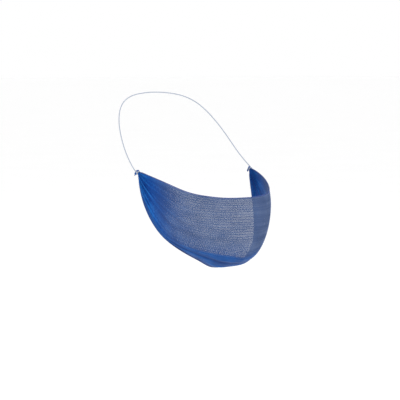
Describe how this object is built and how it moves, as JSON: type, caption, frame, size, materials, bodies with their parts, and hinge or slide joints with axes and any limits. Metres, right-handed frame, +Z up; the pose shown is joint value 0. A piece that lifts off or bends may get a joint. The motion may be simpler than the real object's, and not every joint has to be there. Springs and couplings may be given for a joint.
{
  "type": "disposable beard cover",
  "caption": "Worn-shape disposable beard cover: a fine blue net pouch with a thin top hem and a bunched chin band, gathered at both ends and tied to a white elastic head loop.",
  "frame": {"origin": "the place on the inside of the cover where the wearer's chin sits, on the middle plane", "axes": "+Z up, the wearer faces -Y, and the wearer's left side is towards +X"},
  "size_m": [0.1558, 0.2059, 0.1934],
  "materials": {
    "net": "fine royal-blue knitted nylon net, sheer over the face and opaque in its pleats",
    "hem": "thin darker blue overlocked nylon edge",
    "band": "doubled and bunched royal-blue nylon net, nearly opaque",
    "elastic": "thin white covered elastic thread"
  },
  "bodies": {
    "root": {"net_shell": "net", "top_hem": "hem", "chin_band": "band", "right_tie": "elastic", "left_tie": "elastic", "elastic_cord": "elastic"}
  },
  "joints": []
}
